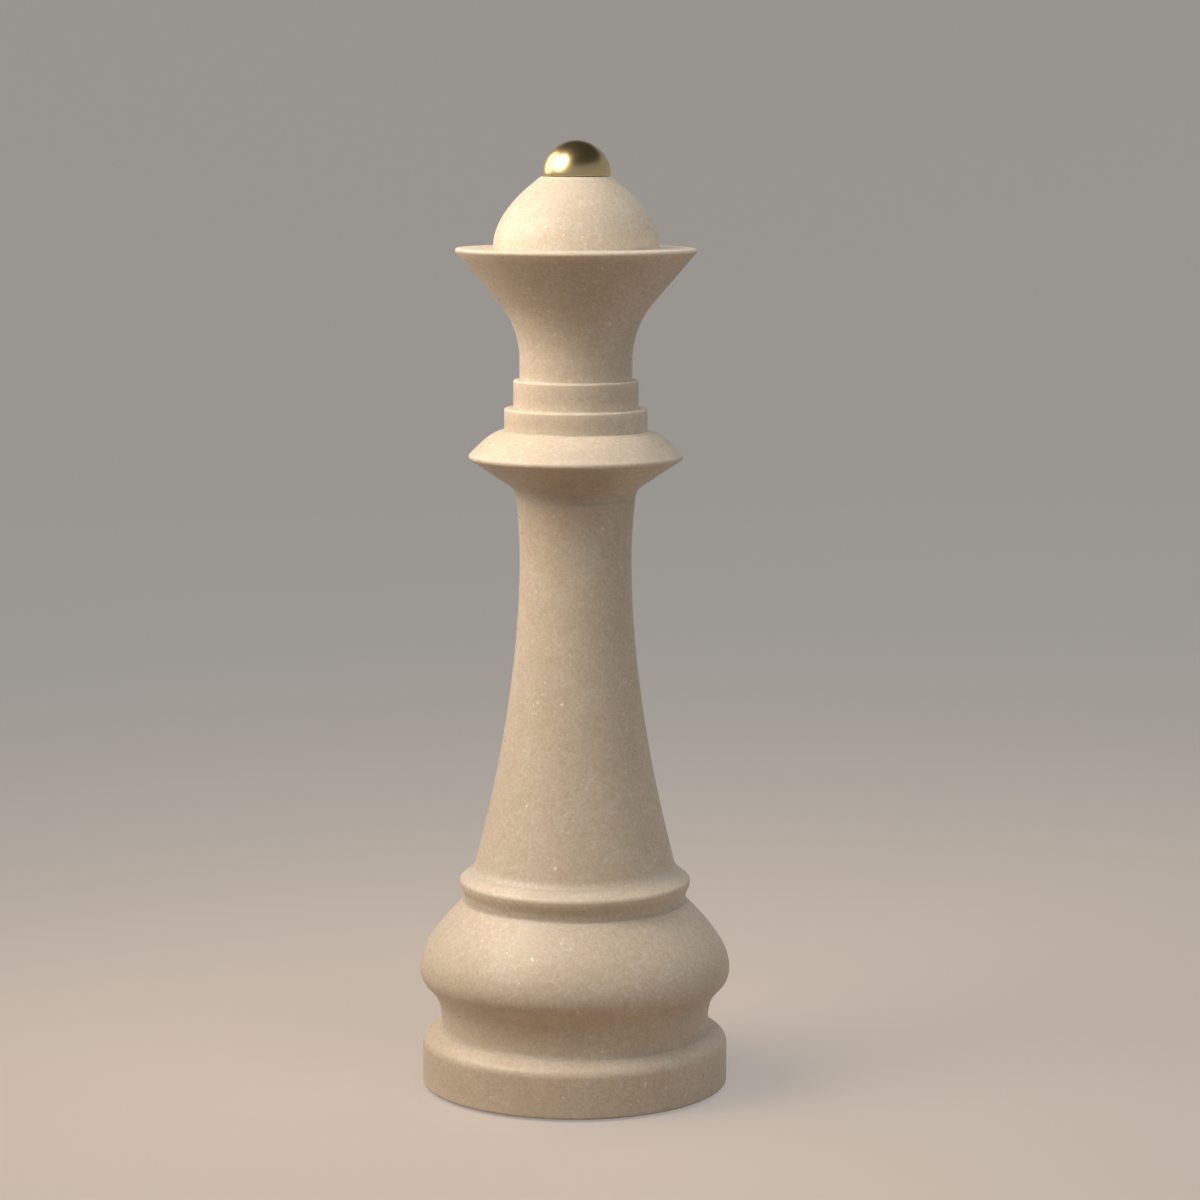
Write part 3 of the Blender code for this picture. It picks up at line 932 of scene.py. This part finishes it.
def shell_of_rings(name, rings, surface, capped=False):
    """A mesh from rings of points that follow each other round the axis, closed up or with flat ends."""
    bm = bmesh.new()
    columns = [[bm.verts.new(p) for p in ring] for ring in rings]
    count = len(columns[0])
    for a, b in zip(columns, columns[1:] if capped else columns[1:] + columns[:1]):
        for k in range(count):
            bm.faces.new((a[k], b[k], b[(k + 1) % count], a[(k + 1) % count]))
    if capped:
        bm.faces.new(columns[0])
        bm.faces.new(columns[-1][::-1])
    mesh = bpy.data.meshes.new(name)
    bm.to_mesh(mesh)
    bm.free()
    mesh.materials.append(surface)
    return finished(in_scene(name, mesh))


def at_angle(angle, r, z):
    """An outline point turned to an angle about the axis."""
    return (r * math.cos(angle), r * math.sin(angle), z)


def fine_nut(name, node, bore, surface):
    """A six-sided nut whose corners run out under the chamfers at both ends."""
    low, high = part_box(node)
    flat = (high.x - low.x) / 2
    circle = flat * NUT_CIRCLE
    rings = []
    for k in range(SMALL_SIDES):
        angle = math.tau * k / SMALL_SIDES
        side = flat / math.cos((angle + math.pi / 6) % (math.pi / 3) - math.pi / 6)
        drop = (side - circle) * math.tan(NUT_CHAMFER)
        outline = [
            (bore, low.z + NUT_LEAD),
            (bore + NUT_LEAD, low.z),
            (circle, low.z),
            (side, low.z + drop),
            (side, high.z - drop),
            (circle, high.z),
            (bore + NUT_LEAD, high.z),
            (bore, high.z - NUT_LEAD),
        ]
        rings.append([at_angle(angle, r, z) for r, z in outline])
    return shell_of_rings(name, rings, surface)


def split_spring(name, node, surface):
    """A square wire bent once round the rod, whose ends stand apart and are cut across."""
    low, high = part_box(node)
    outline, _ = outline_of(node)
    inner = min(r for r, _ in outline)
    outer = max(r for r, _ in outline)
    thick = max(z for _, z in outline) - min(z for _, z in outline)
    rise = high.z - low.z - thick
    ease = SPRING_EASE
    section = [
        (inner + ease, 0), (outer - ease, 0), (outer, ease), (outer, thick - ease),
        (outer - ease, thick), (inner + ease, thick), (inner, thick - ease), (inner, ease),
    ]
    rings = []
    for k in range(SMALL_SIDES + 1):
        share = k / SMALL_SIDES
        angle = share * (math.tau - SPRING_SLIT)
        rings.append([at_angle(angle, r, low.z + z + rise * share) for r, z in section])
    return shell_of_rings(name, rings, surface, capped=True)


def bedded(points, closing):
    """The outline with its lowest land brought down by the closing."""
    foot = min(z for _, z in points)
    return [(r, z - closing if z - foot < PLANE_TOLERANCE else z) for r, z in points]


def coved(points, below, reach):
    """The outline with its foot swept out along the top of the section below, ending just under that."""
    corner, side = points[0], unit(points[0], points[1])
    top = max(z for r, z in below if r > corner[0] - reach)
    land = [i for i, (r, z) in enumerate(below) if abs(z - top) < PLANE_TOLERANCE and r > SPIGOT_CLEAR]
    edge = max(land, key=lambda i: below[i][0])
    onto = unit(below[edge], below[edge - 1])
    if below[edge][0] > corner[0] + reach:
        onto = (1.0, 0.0)
    beyond = max(0.0, corner[0] - below[edge][0])
    meeting = (corner[0], top + beyond * onto[1] / onto[0])
    down = (onto[1], -onto[0])
    tip = tuple(meeting[n] + onto[n] * reach * COVE_TAIL + down[n] * reach * COVE_SINK for n in (0, 1))
    sweep = []
    for k in range(COVE_STEPS + 1):
        t = k / COVE_STEPS
        away, up = reach * (1 - t) ** 2, reach * t * t
        sweep.append(tuple(meeting[n] + onto[n] * away + side[n] * up for n in (0, 1)))
    return [tip, *sweep, *points[1:], (corner[0] - reach, points[-1][1])]


class QUEEN_OT_turn_stones(bpy.types.Operator):
    """Turn the nine marble sections"""

    bl_idname = "queen.turn_stones"
    bl_label = "Turn the Marble"

    def execute(self, context):
        settings = context.scene.chess_queen.stone
        surface = marble(settings)
        below = None
        for number, node in enumerate(STONES):
            outline, closed = outline_of(node)
            outline = anticlockwise(outline)
            points, foot = outline, None
            if number:
                points = bedded(outline, settings.joint_closing)
                foot = points[0][1]
            if node in COVES:
                points = coved(points, below, COVES[node])
            below = outline
            line = refined(points, closed, settings.worn_radius)
            made = turned("turned_" + node, line, closed, settings.sides, surface, foot)
            block = made.data.attributes.new(BLOCK, "FLOAT", "POINT")
            block.data.foreach_set("value", [float(number)] * len(made.data.vertices))
            placed(made, STONE_BODY, node)
        return {"FINISHED"}


class QUEEN_OT_turn_knob(bpy.types.Operator):
    """Turn the brass knob and the nylon washer in its underside"""

    bl_idname = "queen.turn_knob"
    bl_label = "Turn the Knob"

    def execute(self, context):
        settings = context.scene.chess_queen.metal
        brass = metal(
            "satin_brass",
            settings.brass,
            settings.tarnish,
            roughness=0.28,
            ring_width=0.00012,
            patch_size=0.006,
        )
        points, _ = outline_of("finial_knob")
        if points[0][1] < points[-1][1] or points[0][0] > PLANE_TOLERANCE:
            points = points[::-1]
        points = to_the_axis(points)[::-1]
        line = refined(points, False, KNOB_EASE)
        made = turned("brass_knob", line, False, KNOB_SIDES, brass)
        placed(made, KNOB_BODY, "finial_knob")
        outline, closed = outline_of("knob_washer")
        line = refined(anticlockwise(outline), closed, NYLON_EASE)
        made = turned("nylon_washer", line, closed, SMALL_SIDES, nylon(settings))
        placed(made, KNOB_SEAT_BODY, "knob_washer")
        return {"FINISHED"}


class QUEEN_OT_thread_rod(bpy.types.Operator):
    """Make the rod with a rolled thread at both ends"""

    bl_idname = "queen.thread_rod"
    bl_label = "Thread the Rod"

    def execute(self, context):
        settings = context.scene.chess_queen.metal
        low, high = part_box("tie_rod")
        radius = high.x
        lead = settings.thread_depth
        step = settings.thread_pitch / THREAD_STEPS
        rows = int(settings.thread_length / step)
        lower = [low.z + lead + step * k for k in range(rows + 1)]
        upper = [high.z - lead - step * k for k in range(rows + 1)][::-1]
        run_out = RUN_OUT_TURNS * settings.thread_pitch
        points = [(0.0, low.z), (radius - lead, low.z)]
        depths = [0.0, 0.0]
        for levels, shank in ((lower, lower[-1]), (upper, upper[0])):
            for level in levels:
                points.append((radius, level))
                depths.append(settings.thread_depth * min(1.0, abs(level - shank) / run_out))
        points += [(radius - lead, high.z), (0.0, high.z)]
        depths += [0.0, 0.0]
        wear_and_glow = wear_along(points, closed=False)
        source = line_object("threaded_rod", points, False, {EDGE_WEAR_AND_GLOW: wear_and_glow, THREAD: depths})
        tree = turning_tree("threaded_bar", threaded=True)
        values = {"Sides": ROD_SIDES, "Material": zinc(settings), "Pitch": settings.thread_pitch}
        made = finished(baked("threaded_rod", source, tree, values))
        placed(made, STONE_BODY, "tie_rod")
        return {"FINISHED"}


class QUEEN_OT_make_fasteners(bpy.types.Operator):
    """Make the nuts and washers that clamp the sections"""

    bl_idname = "queen.make_fasteners"
    bl_label = "Make the Nuts and Washers"

    def execute(self, context):
        surface = zinc(context.scene.chess_queen.metal)
        _, rod_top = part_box("tie_rod")
        bore = rod_top.x + NUT_CLEARANCE
        for node in ("bottom_nut", "top_nut"):
            placed(fine_nut("hex_" + node, node, bore, surface), STONE_BODY, node)
        for node in ("bottom_washer", "top_washer"):
            outline, closed = outline_of(node)
            line = refined(anticlockwise(outline), closed, WASHER_EASE)
            made = turned("pressed_" + node, line, closed, SMALL_SIDES, surface)
            placed(made, STONE_BODY, node)
        made = split_spring("split_spring_washer", "spring_washer", surface)
        placed(made, STONE_BODY, "spring_washer")
        return {"FINISHED"}


class QUEEN_OT_lay_felt(bpy.types.Operator):
    """Lay the felt pad in the underside"""

    bl_idname = "queen.lay_felt"
    bl_label = "Lay the Felt"

    def execute(self, context):
        settings = context.scene.chess_queen.felt
        surface = new_material(
            "brown_felt",
            fibre_group,
            {"Felt": (*settings.felt, 1.0), "Lint": (*settings.lint, 1.0), "Fibre Size": 0.0006},
            {"Strength": 0.8, "Distance": 0.0004},
            {"Sheen Weight": 0.3, "Sheen Roughness": 0.6, "IOR": 1.4},
        )
        low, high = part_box("felt_pad")
        edge = [(0.0, low.z), (high.x, low.z), (high.x, high.z), (0.0, high.z)]
        line = refined(edge, False, FELT_EDGE)
        made = turned("felt_disc", line, False, FELT_SIDES, surface)
        for vertex in made.data.vertices:
            across = math.hypot(vertex.co.x, vertex.co.y)
            if across > FRAY_FROM * high.x:
                fray = FRAY_DEPTH * (0.5 + 0.5 * noise.noise(vertex.co * FRAY_SCALE))
                vertex.co.xy *= 1 - fray / across
        made.data.update()
        placed(made, STONE_BODY, "felt_pad")
        return {"FINISHED"}


def soft_light(name, azimuth, elevation, distance, power, colour, mirrored_in_metal=True):
    """A round soft light aimed high on the piece. Its azimuth is 0 in front and 90 degrees at the right."""
    light = bpy.data.lights.new(name, "AREA")
    light.shape = "DISK"
    light.size = distance * LIGHT_SPAN
    light.spread = LIGHT_SPREAD
    light.energy = power
    light.color = colour
    made = in_scene(name, light)
    round_by, up_by = math.radians(azimuth), math.radians(elevation)
    level = math.cos(up_by)
    away = Vector((math.sin(round_by) * level, -math.cos(round_by) * level, math.sin(up_by)))
    made.location = Vector((0.0, 0.0, HEIGHT * LIGHT_AIM)) + away * distance
    made.rotation_mode = "QUATERNION"
    made.rotation_quaternion = (-away).to_track_quat("-Z", "Y")
    made.visible_camera = False
    made.visible_glossy = mirrored_in_metal


class QUEEN_OT_set_stage(bpy.types.Operator):
    """Set the floor, the lights and the camera"""

    bl_idname = "queen.set_stage"
    bl_label = "Set the Stage"

    def execute(self, context):
        settings = context.scene.chess_queen.stage
        plain = bpy.data.materials.new("plain_floor")
        plain.use_nodes = True
        tree = Tree(plain.node_tree)
        shader = plain.node_tree.nodes["Principled BSDF"]
        place = tree.add("ShaderNodeTexCoord").outputs["Object"]
        paler = tuple(min(1.0, c * FLOOR_PALER) for c in settings.floor) + (1.0,)
        tone = tree.mix(tree.noise(place, FLOOR_CLOUDS), (*settings.floor, 1.0), paler)
        tree.link(tone, shader.inputs["Base Color"])
        shader.inputs["Roughness"].default_value = FLOOR_ROUGHNESS
        shader.inputs["Emission Color"].default_value = GLOW_COLOUR
        path = tree.add("ShaderNodeLightPath")
        seen = tree.math("MAXIMUM", path.outputs["Is Camera Ray"], path.outputs["Is Glossy Ray"])
        glow = tree.math("MULTIPLY", seen, settings.backdrop_glow)
        tree.link(glow, shader.inputs["Emission Strength"])
        flat = FLOOR_RADIUS - FLOOR_BEND
        bend = [
            (flat + FLOOR_BEND * math.sin(t), FLOOR_BEND - FLOOR_BEND * math.cos(t))
            for t in (math.radians(a) for a in range(0, 91, 6))
        ]
        outline = [*((r, 0.0) for r in FLOOR_ROWS), *bend, (FLOOR_RADIUS, WALL_TOP)]
        source = line_object("studio_floor", outline, False, {EDGE_WEAR_AND_GLOW: [0.0] * len(outline)})
        turning = once("turned_section", turning_tree)
        floor = baked("studio_floor", source, turning, {"Sides": FLOOR_SIDES, "Material": plain})
        floor.data.flip_normals()
        soft_light("key_light", -66, 40, 0.75, settings.key_power, (1.0, 0.84, 0.69))
        soft_light("side_light", -112, 30, 0.5, settings.side_power, (1.0, 0.80, 0.62))
        soft_light("top_light", 5, 66, 0.9, settings.top_power, (1.0, 0.97, 0.94), False)
        soft_light("fill_light", 48, 26, 1.1, settings.fill_power, (1.0, 0.94, 0.93), False)
        soft_light("back_light", 148, 34, 1.1, settings.back_power, (1.0, 0.93, 0.88), False)
        world = bpy.data.worlds.new("plain_surroundings")
        world.use_nodes = True
        back = world.node_tree.nodes["Background"]
        back.inputs["Color"].default_value = SKY_COLOUR
        back.inputs["Strength"].default_value = settings.sky
        context.scene.world = world
        context.scene.view_settings.view_transform = "Standard"
        camera = bpy.data.cameras.new("studio_camera")
        camera.lens = settings.lens
        camera.sensor_width = SENSOR_WIDTH
        camera.clip_start, camera.clip_end = CLIP_START, CLIP_END
        made = in_scene("studio_camera", camera)
        made.location = (settings.camera_aside, -settings.camera_distance, settings.camera_height)
        level = Matrix.Rotation(math.pi / 2 - settings.camera_tilt, 3, "X")
        made.rotation_euler = (level @ Matrix.Rotation(settings.camera_roll, 3, "Z")).to_euler()
        context.scene.camera = made
        return {"FINISHED"}


class QUEEN_PT_sidebar(bpy.types.Panel):
    """The sidebar's list of pieces"""

    bl_idname = "QUEEN_PT_sidebar"
    bl_label = "Chess Queen"
    bl_space_type = "VIEW_3D"
    bl_region_type = "UI"
    bl_category = "Chess Queen"

    def draw(self, context):
        settings = context.scene.chess_queen
        for operator in OPERATORS:
            self.layout.operator(operator.bl_idname)
        for group in (settings.stone, settings.metal, settings.felt, settings.stage):
            box = self.layout.box()
            for name in group.__annotations__:
                box.prop(group, name)


OPERATORS = (
    QUEEN_OT_turn_stones,
    QUEEN_OT_turn_knob,
    QUEEN_OT_thread_rod,
    QUEEN_OT_make_fasteners,
    QUEEN_OT_lay_felt,
    QUEEN_OT_set_stage,
)
CLASSES = (
    StoneSettings,
    MetalSettings,
    FeltSettings,
    StageSettings,
    QueenSettings,
    *OPERATORS,
    QUEEN_PT_sidebar,
)


def register():
    for made in CLASSES:
        bpy.utils.register_class(made)
    bpy.types.Scene.chess_queen = bpy.props.PointerProperty(type=QueenSettings)


def unregister():
    del bpy.types.Scene.chess_queen
    for made in reversed(CLASSES):
        bpy.utils.unregister_class(made)


def main():
    register()
    bpy.ops.queen.turn_stones()
    bpy.ops.queen.turn_knob()
    bpy.ops.queen.thread_rod()
    bpy.ops.queen.make_fasteners()
    bpy.ops.queen.lay_felt()
    bpy.ops.queen.set_stage()


if __name__ == "__main__":
    main()
